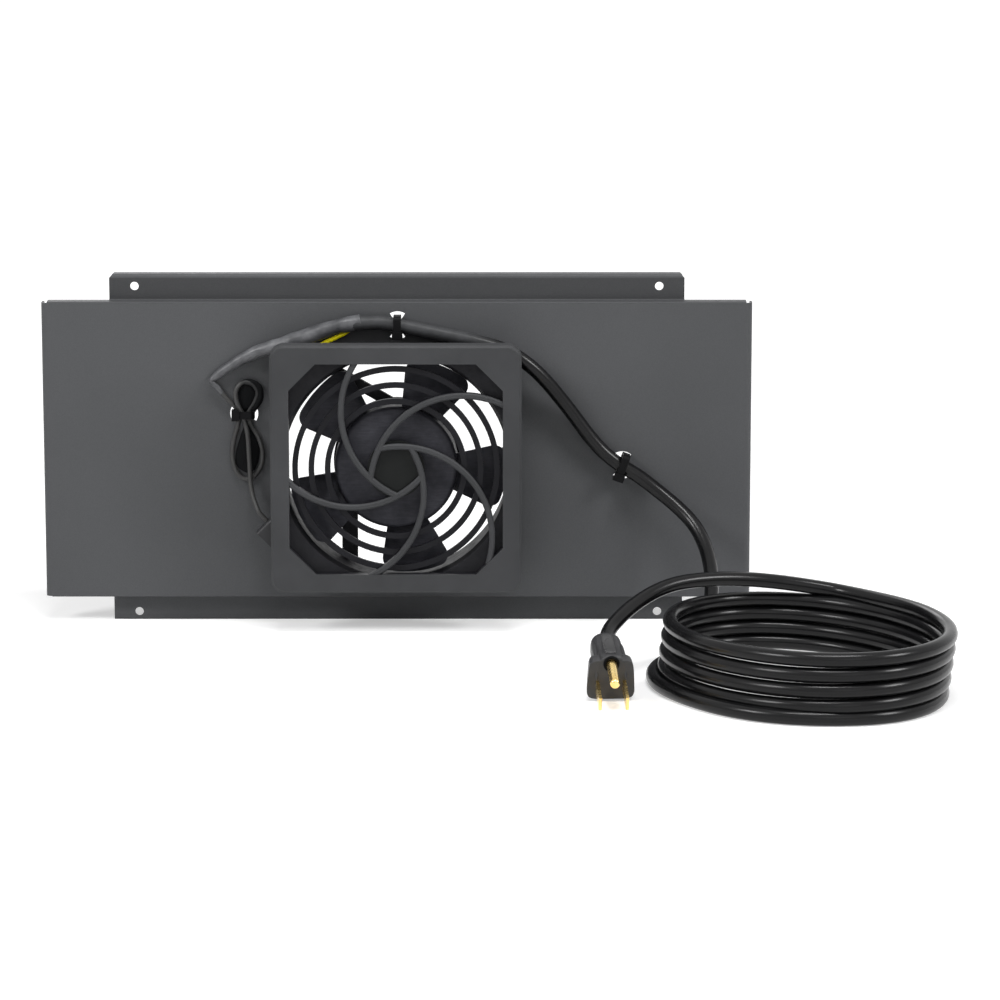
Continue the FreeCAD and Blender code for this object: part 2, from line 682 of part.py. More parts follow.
def make_nuts():
    nuts = []
    start = FAN_FLANGE_T + WASHER_T
    for x, z in fan_holes():
        r = NUT_AF / 2 / math.cos(math.radians(30))
        corners = [(x + r * math.cos(math.radians(60 * k + 30)), z + r * math.sin(math.radians(60 * k + 30)))
                   for k in range(6)]
        blank = polygon(corners, start, start + NUT_T)
        nuts.append(blank.cut(disc(NUT_HOLE_R, 0, FAN_DEPTH, x, z)))
    return Part.makeCompound(nuts)


def make_washers():
    kept = [h for h in fan_holes() if h != (EARTH_SCREW[0], EARTH_SCREW[2])]
    start = FAN_FLANGE_T
    return Part.makeCompound([ring(WASHER_R, NUT_HOLE_R, start, start + WASHER_T, x, z) for x, z in kept])


def make_earth_terminal():
    """Ring terminal under the upper left nut, with a crimp barrel for the earth lead."""
    x, z = EARTH_SCREW[0], EARTH_SCREW[2]
    eye = ring(WASHER_R, NUT_HOLE_R, FAN_FLANGE_T, FAN_FLANGE_T + WASHER_T, x, z)
    end, way = EARTH_ROUTE[-1], EARTH_ROUTE[-2].sub(EARTH_ROUTE[-1]).normalize()
    flat = V(way.x, 0, way.z).normalize()
    reach = end.sub(V(x, end.y, z)).Length - 4.4
    neck = Part.makeBox(reach, WASHER_T, 3.0, V(NUT_HOLE_R + 0.8, -FAN_FLANGE_T - WASHER_T, -1.5))
    neck.rotate(V(0, 0, 0), Y_AXIS, -math.degrees(math.atan2(flat.z, flat.x)))
    neck.translate(V(x, 0, z))
    barrel = Part.makeCylinder(EARTH_D / 2 + 0.3, 4.4, end.sub(V(way).multiply(4.4)), way)
    return fuse([eye.fuse(neck), barrel])


# ---------------------------------------------------------------- cords

def bend_radii(points):
    """Radius at each inner point: a share of the shorter run over the tangent of half the turn."""
    radii = []
    for i in range(1, len(points) - 1):
        a = points[i].sub(points[i - 1])
        b = points[i + 1].sub(points[i])
        radii.append(BEND_SHARE * min(a.Length, b.Length) / math.tan(a.getAngle(b) / 2))
    return radii


def tube(points, diameter, name=None):
    """Solid tube along straight runs joined by tangent arcs."""
    edges = []
    start = points[0]
    length = 0.0
    radii = bend_radii(points)
    for i, radius in enumerate(radii, 1):
        a = points[i].sub(points[i - 1])
        b = points[i + 1].sub(points[i])
        turn = a.getAngle(b)
        reach = radius * math.tan(turn / 2)
        a.normalize()
        b.normalize()
        into = points[i].sub(V(a).multiply(reach))
        out = points[i].add(V(b).multiply(reach))
        inward = V(b).sub(a).normalize()
        middle = points[i].add(V(inward).multiply(radius / math.cos(turn / 2) - radius))
        edges.append(Part.LineSegment(start, into).toShape())
        edges.append(Part.Arc(into, middle, out).toShape())
        length += into.sub(start).Length + radius * turn
        start = out
    edges.append(Part.LineSegment(start, points[-1]).toShape())
    length += points[-1].sub(start).Length
    spine = Part.Wire(edges)
    circle = Part.Wire(Part.makeCircle(diameter / 2, points[0], points[1].sub(points[0])))
    solid = spine.makePipeShell([circle], True, False)
    if name:
        section = math.pi * diameter ** 2 / 4
        print(f"{name}: length {length:.1f} radii {[round(r, 1) for r in radii]} "
              f"volume ratio {solid.Volume / (section * length):.4f}")
    return solid


def near(start, rows):
    """Route points from rows of x, depth in front of the panel and z, counted from a start point."""
    return [V(start[0] + x, -start[1] - d, start[2] + z) for x, d, z in rows]


def plug_frame():
    """Plug face centre and its three directions: pins, up the face, across the face."""
    pitch = math.radians(PLUG_PITCH_DEG)
    yaw = math.radians(PLUG_YAW_DEG)
    across = V(math.cos(yaw), math.sin(yaw), 0)
    level = V(math.sin(yaw), -math.cos(yaw), 0)
    pins = V(level).multiply(math.cos(pitch)).add(V(0, 0, -math.sin(pitch)))
    up = V(level).multiply(math.sin(pitch)).add(V(0, 0, math.cos(pitch)))
    tip_low = V(up).multiply(-BLADE_PIN_DROP - BLADE_PIN_H / 2).add(V(pins).multiply(BLADE_PIN_L))
    centre = V(PLUG_X - tip_low.x, -PLUG_TIP_D - tip_low.y, -tip_low.z)
    return centre, pins, up, across


def to_plug(shape):
    """Place a shape modelled with X across, Y up the face and Z along the pins."""
    centre, pins, up, across = plug_frame()
    matrix = FreeCAD.Matrix(
        across.x, up.x, pins.x, centre.x,
        across.y, up.y, pins.y, centre.y,
        across.z, up.z, pins.z, centre.z,
        0, 0, 0, 1)
    return shape.transformShape(matrix, True)


def plug_point(along):
    centre, pins, up, across = plug_frame()
    return centre.add(V(pins).multiply(along))


def make_plug_body():
    w, h, c = PLUG_FACE_W / 2, PLUG_FACE_H / 2, PLUG_FACE_CHAMFER
    shoulder = PLUG_BODY_R + 1.0
    outline = [(-w + 1.0, h - 1.5), (-shoulder, h), (shoulder, h), (w - 1.0, h - 1.5), (w, -h + c),
               (w - c, -h), (-w + c, -h), (-w, -h + c)]
    corners = [V(x, y, -PLUG_FACE_T) for x, y in outline]
    face = Part.Face(Part.makePolygon(corners + corners[:1])).extrude(V(0, 0, PLUG_FACE_T))
    rings = ((-PLUG_FACE_T + 0.5, PLUG_BODY_R + 2.2, 0.5), (-PLUG_FACE_T - 7, PLUG_BODY_R + 0.4, 0.4),
             (-PLUG_BODY_L + 5, PLUG_BODY_R, 0.2), (-PLUG_BODY_L, PLUG_NECK_R, 0.0))
    sections = [Part.Wire(Part.makeCircle(r, V(0, lift, z), V(0, 0, 1))) for z, r, lift in rings]
    body = Part.makeLoft(sections, True, False)
    hole = Part.makeCylinder(CORD_D / 2, PLUG_BODY_L - 12, V(0, 0, -PLUG_BODY_L - 1), V(0, 0, 1))
    return face.fuse(body).removeSplitter().cut(hole)


def make_plug_blades():
    blades = []
    for side in (-1, 1):
        x = side * BLADE_PIN_SPACING / 2
        blade = Part.makeBox(BLADE_PIN_T, BLADE_PIN_H, BLADE_PIN_L,
                             V(x - BLADE_PIN_T / 2, -BLADE_PIN_DROP - BLADE_PIN_H / 2, 0))
        across = [e for e in blade.Edges if abs(e.tangentAt(e.FirstParameter).y) > 0.9]
        tip = [e for e in across if e.BoundBox.ZMin > BLADE_PIN_L - 0.1]
        blades.append(blade.makeChamfer(0.45, tip))
    return Part.makeCompound(blades)


def make_ground_pin():
    stem = Part.makeCylinder(GROUND_PIN_R, GROUND_PIN_L, V(0, GROUND_PIN_RISE, 0), V(0, 0, 1))
    tip = [e for e in stem.Edges if e.Closed and e.BoundBox.ZMin > GROUND_PIN_L - 0.1]
    return stem.makeFillet(GROUND_PIN_R * 0.7, tip)


def oval(long, short, x):
    """Flat oval on the surface, turned the way the coil lies, with its centre at x and the coil's depth."""
    face = Part.Face(Part.Wire(Part.Ellipse(V(0, 0, 0), long, short).toShape()))
    face.rotate(V(0, 0, 0), Z_AXIS, COIL_TURN_DEG)
    face.translate(V(x, -COIL_D, 0))
    return face


def make_coil():
    """Closed oval ring that the spare cord's turns fill; the lowest turn lies loose on the left."""
    r = CORD_D / 2
    outer = oval(COIL_LONG + r, COIL_SHORT + r + LOOSE_TURN, COIL_X - LOOSE_TURN_LEFT)
    inner = oval(COIL_LONG - r, COIL_SHORT - r, COIL_X)
    return outer.cut(inner).extrude(V(0, 0, COIL_H))


def tie_loop(anchor, turn, hold_d, half_width):
    """Cable tie: a flat loop through both anchor slots and round what it holds, with its head.

    It is modelled with its slots above and below, then turned about the anchor's centre.
    """
    half = half_width + TIE_GAP
    d0 = -SHEET - TIE_GAP
    d1 = hold_d + TIE_GAP
    outer = box(-TIE_W / 2, TIE_W / 2, d0 - TIE_T, d1 + TIE_T, -half - TIE_T, half + TIE_T)
    lengthwise = [e for e in outer.Edges if abs(e.tangentAt(e.FirstParameter).x) > 0.9]
    outer = outer.makeFillet(min(TIE_BEND_R, half), lengthwise)
    inner = box(-TIE_HEAD_W, TIE_HEAD_W, d0, d1, -half, half)
    lengthwise = [e for e in inner.Edges if abs(e.tangentAt(e.FirstParameter).x) > 0.9]
    inner = inner.makeFillet(TIE_INNER_R, lengthwise)
    head = box(-TIE_HEAD_W / 2, TIE_HEAD_W / 2, d1 - TIE_HEAD_H, d1 + TIE_T + 0.9,
               -half - TIE_T - 0.5, -half + TIE_HEAD_H * 0.6)
    tie = outer.fuse(head).removeSplitter().cut(inner)
    tie.rotate(V(0, 0, 0), Y_AXIS, turn)
    tie.translate(V(anchor[0], 0, anchor[2]))
    return tie


# Routes, each point given from the nearest of the points above
POWER_ROUTE = (
    near(TOP_TIE, [(-12.4, 4.5, 1.8), (-4.4, 4.1, 1.27), (9.1, 4.0, -1.3), (24.6, 4.6, -4.3)])
    + near(GUARD_TOP_RIGHT, [(-21.25, 8.6, -1.45), (-5.75, 12.4, -5.45), (8.75, 10.9, -16.45)])
    + near(RIGHT_TIE, [
        (-27.8, 6.4, 31), (-13.6, 4.4, 11.1), (-2.8, 4.1, 1.5), (7.2, 4.6, -3.9), (16.9, 7.8, -11),
        (26.6, 13.2, -18), (36, 20.6, -26.3)])
    + near(COIL_LEFT, [
        (17.4, -116, 41.5), (19.5, -103, 31.4), (19.1, -89, 20), (15.3, -75, 9.2), (7.9, -62.5, 2),
        (-0.9, -49.5, 0.15), (-8.1, -35, 0.05), (-11.7, -19, 0.05), (-10.7, -2, 0.05)])
)
PLUG_ROUTE = near(COIL_BACK, [
    (22.9, 10.9, -4), (6.4, 7.4, -1.8), (-9.8, 7.4, 0.6), (-26.3, 10.4, 2.7), (-43, 16.4, 4.1),
    (-59.4, 24.4, 4), (-70.1, 31.9, 2), (-79.7, 41.4, -1.6), (-88.1, 52.4, -5.8)])
SLEEVE_ROUTE = (
    near(GUARD_TOP_LEFT, [
        (-27.2, 2.9, -19.05), (-16, 3.1, -12.45), (-4.8, 4.6, -6.65), (6.8, 8, -1.35), (14.5, 7.7, 0.55)])
    + near(TOP_TIE, [(-38.7, 6.9, -2.5), (-28.7, 5.8, 0.3), (-18.4, 4.8, 2.2), (-12.4, 4.5, 1.8)])
)
LEAD_STRANDS = near(LEFT_TIE, [
    (4.4, 7.5, -41.5), (3.1, 5, -35.1), (2.8, 4.6, -27.2), (2.4, 4.5, -18),
    (2, 4.4, -10.7), (1, 4.4, -4.7), (-0.9, 4.3, 0.9), (-3.8, 4, 6.9), (-4.2, 3.6, 12.7),
    (-0.4, 3, 16.9), (5, 2.5, 15.7), (7.4, 2, 10.9), (5.2, 1.8, 5.5), (1.8, 1.7, 1.1), (3, 1.6, -5.1),
    (7.3, 1.6, -11.8), (9.5, 1.6, -19.5), (8.6, 1.6, -26.7), (4.8, 1.6, -32.3), (0, 1.6, -33.9),
    (-4, 1.6, -30.5), (-6, 1.6, -24.5), (-6.2, 1.6, -17.9), (-4.8, 1.6, -11.3), (-2.8, 1.7, -5.1),
    (-2.8, 2, 2.4)])
LEAD_TAIL = near(LEFT_TIE, [
    (-7.4, 2.7, 6.9), (-11, 2.8, 10.9), (-14.6, 2.9, 14.9), (-15.3, 2.9, 18.3)]) + SLEEVE_ROUTE[:1]
EARTH_ROUTE = (
    near(TOP_TIE, [(-21.9, 4.8, -0.1), (-26, 5, -3.1), (-31.4, 5.3, -5.7)])
    + near(EARTH_SCREW, [(15.4, 5.9, 7.6), (9.4, 6, 4.5)])
)


def lead_route():
    start, way = lead_exit()
    return [start, start.add(V(way).multiply(6.0))] + LEAD_STRANDS + LEAD_TAIL[:2]


def make_power_cord():
    return tube(POWER_ROUTE, CORD_D, "power_cord")


def make_plug_cord():
    seat = plug_point(-PLUG_BODY_L + 11)
    neck = plug_point(-PLUG_BODY_L - 8)
    return tube(PLUG_ROUTE + [neck, seat], CORD_D, "plug_cord")


def make_sleeve():
    body = tube(SLEEVE_ROUTE, SLEEVE_D, "splice_sleeve")
    cuff = tube(SLEEVE_ROUTE[3:], SLEEVE_CUFF_D, "sleeve cuff")
    tail = tube(LEAD_TAIL[1:], SLEEVE_TAIL_D, "sleeve tail")
    return fuse([body, cuff, tail]).cut(tube(EARTH_ROUTE, EARTH_D))


def main():
    os.makedirs("parts", exist_ok=True)
    save("tray_panel", make_panel())
    save("fan_housing", make_housing())
    save("motor_bearings", make_bearings())
    save("stator_core", make_core())
    save("stator_coils", make_coils())
    save("rotor_cup", make_rotor_cup())
    save("rotor_shaft", make_shaft())
    save("shaft_clip", make_clip())
    save("impeller", make_impeller())
    save("fan_guard", make_guard())
    save("fan_screws", make_screws())
    save("fan_nuts", make_nuts())
    save("lock_washers", make_washers())
    save("terminal_block", make_terminal_block())
    save("fan_terminals", make_terminals())
    save("lead_plug", make_lead_plug())
    save("fan_lead", tube(lead_route(), LEAD_D, "fan_lead"))
    save("splice_sleeve", make_sleeve())
    save("earth_lead", tube(EARTH_ROUTE, EARTH_D, "earth_lead"))
    save("earth_terminal", make_earth_terminal())
    save("tie_top", tie_loop(TOP_TIE, 0, CORD_D + 0.6, CORD_D / 2 + 0.7))
    save("tie_left", tie_loop(LEFT_TIE, 90, LEAD_D * 2.4, LEAD_D * 1.8))
    save("tie_right", tie_loop(RIGHT_TIE, RIGHT_TIE_TURN, CORD_D + 0.8, CORD_D / 2 + 1.9))
    save("power_cord", make_power_cord())
    save("cord_coil", make_coil())
    save("plug_cord", make_plug_cord())
    save("plug_body", to_plug(make_plug_body()))
    save("plug_blades", to_plug(make_plug_blades()))
    save("plug_ground_pin", to_plug(make_ground_pin()))


main()
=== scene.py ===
"""Looks for the rack fan tray: camera, light, floor, cord, moulded pieces and finishes."""

import math

import bpy
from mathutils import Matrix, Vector, noise


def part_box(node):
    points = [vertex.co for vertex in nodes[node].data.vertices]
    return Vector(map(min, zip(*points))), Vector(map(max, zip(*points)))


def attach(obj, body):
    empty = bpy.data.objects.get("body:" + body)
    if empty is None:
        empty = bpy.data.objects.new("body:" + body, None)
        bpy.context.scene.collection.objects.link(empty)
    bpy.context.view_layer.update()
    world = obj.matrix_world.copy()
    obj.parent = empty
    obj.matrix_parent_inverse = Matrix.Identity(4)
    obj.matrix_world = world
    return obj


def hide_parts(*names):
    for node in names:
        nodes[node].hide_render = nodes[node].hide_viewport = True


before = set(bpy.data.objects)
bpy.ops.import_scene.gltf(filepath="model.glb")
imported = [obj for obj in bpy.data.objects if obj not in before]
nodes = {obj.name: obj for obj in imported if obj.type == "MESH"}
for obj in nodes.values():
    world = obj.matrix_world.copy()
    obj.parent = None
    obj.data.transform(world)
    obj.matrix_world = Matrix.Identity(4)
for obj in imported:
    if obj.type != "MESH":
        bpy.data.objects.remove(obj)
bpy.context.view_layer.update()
scene = bpy.context.scene
scene.view_settings.view_transform = "Standard"

# ---------------------------------------------------------------- camera

TARGET = Vector((0.052, 0.0086, 0.0632))
DISTANCE = 2.2
ELEVATION = math.radians(10.8)
LENS_MM = 156.2
SENSOR_MM = 36.0
CLIP_START = 0.05
CLIP_END = 60.0

camera_data = bpy.data.cameras.new("camera")
camera_data.lens = LENS_MM
camera_data.sensor_width = SENSOR_MM
camera_data.clip_start = CLIP_START
camera_data.clip_end = CLIP_END
camera = bpy.data.objects.new("camera", camera_data)
scene.collection.objects.link(camera)
camera.location = TARGET + DISTANCE * Vector((0, -math.cos(ELEVATION), math.sin(ELEVATION)))
camera.rotation_euler = (math.radians(90) - ELEVATION, 0, 0)
scene.camera = camera


# ---------------------------------------------------------------- node helpers

COAT_ROUGHNESS = 0.1


class Shade:
    """A material being built: a Principled shader with coordinates in the object's own space."""

    def __init__(self, name, color, roughness, metallic=0.0, specular=0.5, coat=0.0):
        self.material = bpy.data.materials.new(name)
        self.material.use_nodes = True
        self.tree = self.material.node_tree
        self.shader = self.tree.nodes["Principled BSDF"]
        self.shader.inputs["Base Color"].default_value = (*color, 1)
        self.shader.inputs["Roughness"].default_value = roughness
        self.shader.inputs["Metallic"].default_value = metallic
        self.shader.inputs["Specular IOR Level"].default_value = specular
        self.shader.inputs["Coat Weight"].default_value = coat
        self.shader.inputs["Coat Roughness"].default_value = COAT_ROUGHNESS
        self.coordinates = self.node("ShaderNodeTexCoord")
        self.height = None

    def node(self, kind, **values):
        made = self.tree.nodes.new(kind)
        for key, value in values.items():
            setattr(made, key, value)
        return made

    def link(self, a, b):
        self.tree.links.new(a, b)

    def axes(self):
        """The object's own x, y and z, each as an output."""
        parts = self.node("ShaderNodeSeparateXYZ")
        self.link(self.coordinates.outputs["Object"], parts.inputs["Vector"])
        return parts.outputs

    def stretched(self, scale):
        mapping = self.node("ShaderNodeMapping")
        mapping.inputs["Scale"].default_value = scale
        self.link(self.coordinates.outputs["Object"], mapping.inputs["Vector"])
        return mapping.outputs["Vector"]

    def noise(self, scale, detail=3.0, rough=0.5, stretch=None, distortion=0.0):
        made = self.node("ShaderNodeTexNoise")
        made.inputs["Scale"].default_value = scale
        made.inputs["Detail"].default_value = detail
        made.inputs["Roughness"].default_value = rough
        made.inputs["Distortion"].default_value = distortion
        place = self.stretched(stretch) if stretch else self.coordinates.outputs["Object"]
        self.link(place, made.inputs["Vector"])
        return made.outputs["Fac"]

    def cells(self, scale):
        made = self.node("ShaderNodeTexVoronoi", feature="F1")
        made.inputs["Scale"].default_value = scale
        self.link(self.coordinates.outputs["Object"], made.inputs["Vector"])
        return made.outputs["Distance"]

    def bands(self, scale, direction, distortion):
        made = self.node("ShaderNodeTexWave", bands_direction=direction)
        made.inputs["Scale"].default_value = scale
        made.inputs["Distortion"].default_value = distortion
        made.inputs["Detail"].default_value = 2.0
        self.link(self.coordinates.outputs["Object"], made.inputs["Vector"])
        return made.outputs["Fac"]

    def ramp(self, source, stops):
        made = self.node("ShaderNodeValToRGB")
        elements = made.color_ramp.elements
        while len(elements) < len(stops):
            elements.new(0.5)
        for element, (at, color) in zip(elements, stops):
            element.position = at
            element.color = (*color, 1)
        self.link(source, made.inputs["Fac"])
        return made.outputs["Color"]

    def tones(self, source, dark, light):
        """Two colours that meet softly in the middle of a noise."""
        return self.ramp(source, [(0.3, dark), (0.7, light)])

    def spread(self, source, low, high, start=0.3, end=0.7):
        made = self.node("ShaderNodeMapRange")
        made.inputs["From Min"].default_value = start
        made.inputs["From Max"].default_value = end
        made.inputs["To Min"].default_value = low
        made.inputs["To Max"].default_value = high
        self.link(source, made.inputs["Value"])
        return made.outputs["Result"]

    def math(self, operation, *values):
        made = self.node("ShaderNodeMath", operation=operation)
        for socket, value in zip(made.inputs, values):
            if isinstance(value, (int, float)):
                socket.default_value = value
            else:
                self.link(value, socket)
        return made.outputs["Value"]

    def mixed(self, factor, a, b, blend="MIX"):
        made = self.node("ShaderNodeMix", data_type="RGBA", blend_type=blend)
        for name, value in (("Factor", factor), ("A", a), ("B", b)):
            socket = made.inputs[name]
            if isinstance(value, (int, float)):
                socket.default_value = value
            elif isinstance(value, tuple):
                socket.default_value = (*value, 1)
            else:
                self.link(value, socket)
        return made.outputs["Result"]

    def color(self, source):
        self.link(source, self.shader.inputs["Base Color"])

    def roughness(self, source):
        self.link(source, self.shader.inputs["Roughness"])

    def bump(self, source, depth, strength=1.0):
        made = self.node("ShaderNodeBump")
        made.inputs["Distance"].default_value = depth
        made.inputs["Strength"].default_value = strength
        self.link(source, made.inputs["Height"])
        if self.height is not None:
            self.link(self.height, made.inputs["Normal"])
        self.height = made.outputs["Normal"]
        self.link(self.height, self.shader.inputs["Normal"])


def finish_of(name, material):
    """Give a CAD node its finish."""
    slots = nodes[name].data.materials
    slots.clear()
    slots.append(material)


# ---------------------------------------------------------------- finishes

# Where a mask fades, in metres of the object's own space.
FLANGE_SHADE_FADE = (0.0145, 0.012)    # below the panel's top: from the plate to the flange's painted shade
LIP_FADE = (0.0022, 0.0018)      # below the panel's top: from the flange's painted shade to its lit lip, which keeps the plate's tone
SHEEN_X_FADE = (0.034, 0.052)    # the painted grey sheen on the cord ends here, to the right
SHEEN_Z_FADE = (0.130, 0.140)    # and starts above this height
SHEEN_ROUGHNESS = 0.24
DISC_FADE = (0.0144, 0.0156)     # radius of the guard's centre disc
OPENING_FADE = (0.007, 0.005)    # in from the guard's sides: from its rings to its face
SET_BACK_FADE = (0.0016, 0.0034)    # back from the guard's front, where the painted shade of its set-back parts starts
LOOP_SHADE_X_FADE = (-0.0795, -0.0770)    # painted shade on the lead's upper loop, where it turns in, to the right of this
LOOP_SHADE_Z_FADE = (0.1085, 0.1115)      # and above this


def powder_coat():
    s = Shade("powder_coat", (0.070, 0.072, 0.075), 0.55, specular=0.22)
    broad = s.noise(9.0, 2.0)
    fine = s.noise(2600.0, 2.0)
    tone = s.tones(broad, (0.070, 0.072, 0.075), (0.082, 0.084, 0.088))
    fleck = s.ramp(fine, [(0.35, (0.86, 0.86, 0.87)), (0.72, (1.0, 1.0, 1.0))])
    z = s.axes()["Z"]
    panel_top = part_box("tray_panel")[1].z
    raised = s.spread(z, 0.0, 1.0, *(panel_top - down for down in FLANGE_SHADE_FADE))
    face = s.spread(z, 1.0, 0.0, *(panel_top - down for down in LIP_FADE))
    # painted shade: the top flange is darkened, the lip above it is not
    flange = s.math("MULTIPLY", raised, face)
    tone = s.mixed(flange, tone, (0.046, 0.047, 0.049))
    s.color(s.mixed(1.0, tone, fleck, "MULTIPLY"))
    s.roughness(s.spread(s.noise(420.0), 0.44, 0.58))
    s.bump(s.noise(1500.0, 3.0), 0.00003, 0.5)
    return s.material


def shaded(color, share):
    """The same colour, darker or lighter."""
    return tuple(c * share for c in color)


def cast_black():
    color = (0.012, 0.012, 0.014)
    s = Shade("cast_black", color, 0.55, specular=0.15)
    s.color(s.tones(s.noise(60.0, 3.0), shaded(color, 0.8), shaded(color, 1.3)))
    s.roughness(s.spread(s.noise(300.0), 0.48, 0.66))
    s.bump(s.noise(900.0, 3.0), 0.00006, 0.6)
    return s.material


def moulded(name, color, roughness, grain=1400.0, depth=0.00003, specular=0.45):
    s = Shade(name, color, roughness, specular=specular)
    s.color(s.tones(s.noise(35.0, 3.0), shaded(color, 0.88), shaded(color, 1.12)))
    s.roughness(s.spread(s.noise(240.0), roughness - 0.06, roughness + 0.08))
    s.bump(s.noise(grain, 2.0), depth, 0.6)
    return s.material


def jacket():
    """Glossy black cord, with a painted grey sheen, matt, on the stretch where it leaves the sleeve."""
    s = Shade("cord_jacket", (0.0042, 0.0042, 0.0046), 0.24, specular=0.21)
    axes = s.axes()
    # painted sheen: the stretch beside the sleeve is grey and matt instead of black
    grey_sheen = s.math("MULTIPLY", s.spread(axes["X"], 1.0, 0.0, *SHEEN_X_FADE),
                   s.spread(axes["Z"], 0.0, 1.0, *SHEEN_Z_FADE))
    black = s.tones(s.noise(40.0, 2.0), (0.0036, 0.0036, 0.004), (0.0052, 0.0052, 0.0056))
    grey = s.tones(s.noise(260.0, 3.0), (0.033, 0.034, 0.036), (0.046, 0.047, 0.050))
    s.color(s.mixed(grey_sheen, black, grey))
    gloss = s.spread(s.noise(90.0, 2.0), 0.20, 0.27)
    s.roughness(s.math("ADD", gloss, s.math("MULTIPLY", grey_sheen, SHEEN_ROUGHNESS)))
    s.bump(s.noise(500.0, 2.0), 0.00001, 0.4)
    return s.material


def brass():
    s = Shade("plug_brass", (0.92, 0.66, 0.24), 0.24, metallic=1.0)
    s.color(s.tones(s.noise(70.0, 2.0), (0.86, 0.58, 0.18), (0.98, 0.76, 0.34)))
    s.roughness(s.spread(s.noise(300.0, 2.0, stretch=(1, 6, 1)), 0.18, 0.3))
    s.bump(s.noise(2200.0, 2.0, stretch=(1, 8, 1)), 0.00001, 0.3)
    return s.material


def steel(name, color, low, high, stretch=None):
    s = Shade(name, color, (low + high) / 2, metallic=1.0)
    s.color(s.tones(s.noise(120.0, 3.0), shaded(color, 0.85), color))
    s.roughness(s.spread(s.noise(700.0, 3.0, stretch=stretch), low, high))
    s.bump(s.noise(1400.0, 2.0, stretch=stretch), 0.00002, 0.4)
    return s.material


def bronze():
    s = Shade("sintered_bronze", (0.42, 0.25, 0.12), 0.5, metallic=0.9)
    s.color(s.ramp(s.cells(2600.0), [(0.1, (0.22, 0.13, 0.06)), (0.5, (0.48, 0.30, 0.15))]))
    s.roughness(s.spread(s.noise(600.0), 0.42, 0.62))
    s.bump(s.cells(2600.0), 0.00004, 0.5)
    return s.material


def winding():
    s = Shade("winding", (0.48, 0.19, 0.06), 0.32, metallic=0.85, coat=0.3)
    wires = s.bands(900.0, "Y", 0.6)
    s.color(s.ramp(wires, [(0.1, (0.16, 0.05, 0.02)), (0.6, (0.60, 0.26, 0.09))]))
    s.roughness(s.spread(s.noise(300.0), 0.25, 0.4))
    s.bump(wires, 0.00012, 0.8)
    return s.material


def laminations():
    s = Shade("laminations", (0.33, 0.33, 0.35), 0.4, metallic=0.9)
    sheets = s.bands(620.0, "Y", 0.15)
    s.color(s.ramp(sheets, [(0.05, (0.12, 0.12, 0.13)), (0.35, (0.36, 0.36, 0.38))]))
    s.roughness(s.spread(s.noise(300.0), 0.32, 0.5))
    s.bump(sheets, 0.00006, 0.7)
    return s.material


def yellow_wire():
    s = Shade("yellow_wire", (0.80, 0.62, 0.005), 0.38, specular=0.5)
    s.color(s.tones(s.noise(180.0, 3.0), (0.93, 0.76, 0.001), (1.0, 0.88, 0.002)))
    s.roughness(s.spread(s.noise(300.0), 0.32, 0.46))
    s.bump(s.noise(900.0), 0.00003, 0.4)
    return s.material


def sleeve_skin():
    s = Shade("sleeve_skin", (0.085, 0.086, 0.092), 0.42, specular=0.4)
    s.color(s.ramp(s.noise(120.0, 4.0), [(0.34, (0.042, 0.043, 0.047)), (0.66, (0.118, 0.120, 0.127))]))
    s.roughness(s.spread(s.noise(260.0, 3.0), 0.34, 0.52))
    s.bump(s.noise(420.0, 3.0), 0.00012, 0.6)
    return s.material


def guard_skin():
    """Grey where the guard faces out; painted shade on the rings and the centre disc, set back in its
    opening.
    """
    s = Shade("guard_plastic", (0.047, 0.048, 0.050), 0.45, specular=0.14)
    face = s.tones(s.noise(35.0, 3.0), (0.039, 0.040, 0.042), (0.050, 0.051, 0.054))
    rings = s.tones(s.noise(60.0, 3.0), (0.0045, 0.0045, 0.006), (0.009, 0.009, 0.0112))
    axes = s.axes()
    low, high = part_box("fan_guard")
    centre_z = (low.z + high.z) / 2
    half = (high.x - low.x) / 2
    rise = s.math("ABSOLUTE", s.math("SUBTRACT", axes["Z"], centre_z))
    reach = s.math("MAXIMUM", s.math("ABSOLUTE", axes["X"]), rise)
    across = s.math("MULTIPLY", axes["X"], axes["X"])
    radius = s.math("SQRT", s.math("ADD", across, s.math("MULTIPLY", rise, rise)))
    # painted shade: the rings and the centre disc, set back in the opening, get dark copies of the guard's
    # grey
    recess_shade = s.mixed(s.spread(radius, 1.0, 0.0, *DISC_FADE), rings, (0.006, 0.0068, 0.0066))
    inside = s.spread(reach, 1.0, 0.0, *(half - inwards for inwards in OPENING_FADE))
    depth = s.spread(axes["Y"], 0.0, 1.0, *(low.y + back for back in SET_BACK_FADE))
    s.color(s.mixed(s.math("MULTIPLY", inside, depth), face, recess_shade))
    s.roughness(s.spread(s.noise(240.0), 0.4, 0.54))
    s.bump(s.noise(1400.0, 2.0), 0.00003, 0.6)
    return s.material


def blade_skin():
    """Dark blade plastic, mottled with faint rubbed streaks."""
    s = Shade("blade_plastic", (0.026, 0.026, 0.032), 0.5, specular=0.12)
    patches = s.ramp(s.noise(95.0, 5.0, 0.6),
                     [(0.32, (0.019, 0.019, 0.024)), (0.68, (0.038, 0.038, 0.045))])
    streaks = s.ramp(s.noise(130.0, 4.0, stretch=(1, 1, 9), distortion=0.8),
                     [(0.4, (0.86, 0.86, 0.86)), (0.72, (1.15, 1.15, 1.16))])
    s.color(s.mixed(1.0, patches, streaks, "MULTIPLY"))
    s.roughness(s.spread(s.noise(240.0), 0.42, 0.58))
    s.bump(s.noise(700.0, 3.0), 0.00004, 0.6)
    return s.material


